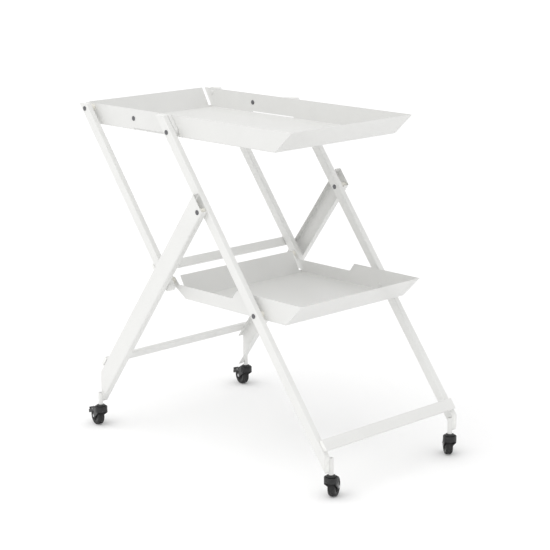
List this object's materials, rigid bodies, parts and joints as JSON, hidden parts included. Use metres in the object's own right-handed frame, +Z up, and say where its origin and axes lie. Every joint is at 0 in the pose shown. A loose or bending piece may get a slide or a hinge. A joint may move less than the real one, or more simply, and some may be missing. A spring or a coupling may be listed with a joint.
{
  "type": "folding salon trolley",
  "caption": "Folding rolling trolley: two white pressed-steel trays with flared ends, one above the other, on crossed folding leg frames with swivel casters.",
  "frame": {"origin": "on the floor, under the middle of the trolley's length and width", "axes": "+X to the front, where the front legs' feet are; +Y to the left; +Z up"},
  "size_m": [0.9562, 0.5845, 0.884],
  "materials": {
    "tray_coat": "white powder coat, satin",
    "frame_coat": "white powder coat, satin",
    "rivet_steel": "dull zinc plate",
    "bright_steel": "zinc plate",
    "white_plastic": "moulded, satin",
    "bush_nylon": "natural nylon",
    "black_plastic": "moulded nylon, fine grain",
    "hub_plastic": "moulded nylon",
    "black_tyre": "smooth tread"
  },
  "bodies": {
    "front_frame": {"front_leg_right": "frame_coat", "front_leg_left": "frame_coat", "front_leg_spacer_right": "frame_coat", "front_leg_spacer_left": "frame_coat", "front_leg_plugs": "white_plastic", "front_caster_socket_right": "frame_coat", "front_caster_socket_left": "frame_coat", "front_cross_rail": "frame_coat", "front_rail_plugs": "white_plastic", "cross_rivets": "rivet_steel", "cross_bushes": "bush_nylon", "front_caster_stems": "bright_steel"},
    "upper_tray": {"upper_tray_pan": "tray_coat", "upper_tray_leg_studs": "rivet_steel", "upper_tray_link_rivets": "rivet_steel", "upper_tray_link_bushes": "bush_nylon", "upper_tray_stop_rivets": "rivet_steel"},
    "lower_tray": {"lower_tray_pan": "tray_coat", "lower_tray_leg_rivets": "rivet_steel", "lower_tray_leg_bushes": "bush_nylon", "lower_tray_link_rivets": "rivet_steel", "lower_tray_link_bushes": "bush_nylon"},
    "rear_links": {"rear_link_right": "frame_coat", "rear_link_left": "frame_coat", "rear_link_plugs": "white_plastic", "rear_link_rail": "frame_coat", "link_rail_plugs": "white_plastic"},
    "rear_legs": {"rear_leg_right": "frame_coat", "rear_leg_left": "frame_coat", "rear_leg_rail": "frame_coat", "rear_rail_plugs": "white_plastic", "rear_caster_socket_right": "frame_coat", "rear_caster_socket_left": "frame_coat", "rear_caster_stems": "bright_steel"},
    "front_right_caster": {"front_right_fork": "black_plastic", "front_right_axle": "bright_steel"},
    "front_right_wheel": {"front_right_tyre": "black_tyre", "front_right_hub": "hub_plastic"},
    "front_left_caster": {"front_left_fork": "black_plastic", "front_left_axle": "bright_steel"},
    "front_left_wheel": {"front_left_tyre": "black_tyre", "front_left_hub": "hub_plastic"},
    "rear_right_caster": {"rear_right_fork": "black_plastic", "rear_right_axle": "bright_steel", "rear_right_pedal_pins": "bright_steel"},
    "rear_right_wheel": {"rear_right_tyre": "black_tyre", "rear_right_hub": "hub_plastic"},
    "rear_right_pedal": {"rear_right_brake_pedal": "black_plastic"},
    "rear_left_caster": {"rear_left_fork": "black_plastic", "rear_left_axle": "bright_steel", "rear_left_pedal_pins": "bright_steel"},
    "rear_left_wheel": {"rear_left_tyre": "black_tyre", "rear_left_hub": "hub_plastic"},
    "rear_left_pedal": {"rear_left_brake_pedal": "black_plastic"}
  },
  "joints": [
    {"name": "trolley_fold", "type": "hinge", "parent": "front_frame", "child": "upper_tray", "pos_m": [-0.10612, 0, 0.843], "axis": [0, -1, 0], "range_deg": [0, 127]},
    {"name": "lower_tray_fold", "type": "hinge", "parent": "front_frame", "child": "lower_tray", "pos_m": [0.21407, 0, 0.4181], "axis": [0, -1, 0], "range_deg": [0, 127]},
    {"name": "rear_link_fold", "type": "hinge", "parent": "upper_tray", "child": "rear_links", "pos_m": [-0.44511, 0, 0.872], "axis": [0, -1, 0], "range_deg": [-127, 0]},
    {"name": "rear_leg_fold", "type": "hinge", "parent": "front_frame", "child": "rear_legs", "pos_m": [0.03351, 0, 0.65772], "axis": [0, -1, 0], "range_deg": [0, 71.12]},
    {"name": "front_right_swivel", "type": "hinge", "parent": "front_frame", "child": "front_right_caster", "pos_m": [0.46042, -0.2196, 0.062], "axis": [0, 0, 1], "continuous": true},
    {"name": "front_right_roll", "type": "hinge", "parent": "front_right_caster", "child": "front_right_wheel", "pos_m": [0.45043, -0.2, 0.025], "axis": [-0.891, -0.454, 0], "continuous": true},
    {"name": "front_left_swivel", "type": "hinge", "parent": "front_frame", "child": "front_left_caster", "pos_m": [0.46042, 0.2196, 0.062], "axis": [0, 0, 1], "continuous": true},
    {"name": "front_left_roll", "type": "hinge", "parent": "front_left_caster", "child": "front_left_wheel", "pos_m": [0.44308, 0.23314, 0.025], "axis": [-0.6157, -0.788, 0], "continuous": true},
    {"name": "rear_right_swivel", "type": "hinge", "parent": "rear_legs", "child": "rear_right_caster", "pos_m": [-0.38009, -0.2712, 0.062], "axis": [0, 0, 1], "continuous": true},
    {"name": "rear_right_roll", "type": "hinge", "parent": "rear_right_caster", "child": "rear_right_wheel", "pos_m": [-0.40152, -0.26625, 0.025], "axis": [-0.225, -0.9744, 0], "continuous": true},
    {"name": "rear_right_brake", "type": "hinge", "parent": "rear_right_caster", "child": "rear_right_pedal", "pos_m": [-0.40444, -0.26558, 0.0445], "axis": [-0.225, -0.9744, 0], "range_deg": [0, 7]},
    {"name": "rear_left_swivel", "type": "hinge", "parent": "rear_legs", "child": "rear_left_caster", "pos_m": [-0.38009, 0.2712, 0.062], "axis": [0, 0, 1], "continuous": true},
    {"name": "rear_left_roll", "type": "hinge", "parent": "rear_left_caster", "child": "rear_left_wheel", "pos_m": [-0.40152, 0.27615, 0.025], "axis": [-0.225, -0.9744, 0], "continuous": true},
    {"name": "rear_left_brake", "type": "hinge", "parent": "rear_left_caster", "child": "rear_left_pedal", "pos_m": [-0.40444, 0.27682, 0.0445], "axis": [-0.225, -0.9744, 0], "range_deg": [0, 7]}
  ],
  "couplings": [
    {"joint": "lower_tray_fold", "follows": "trolley_fold", "ratio": 1},
    {"joint": "rear_link_fold", "follows": "trolley_fold", "ratio": -1},
    {"joint": "rear_leg_fold", "follows": "trolley_fold", "ratio": 0.56}
  ]
}
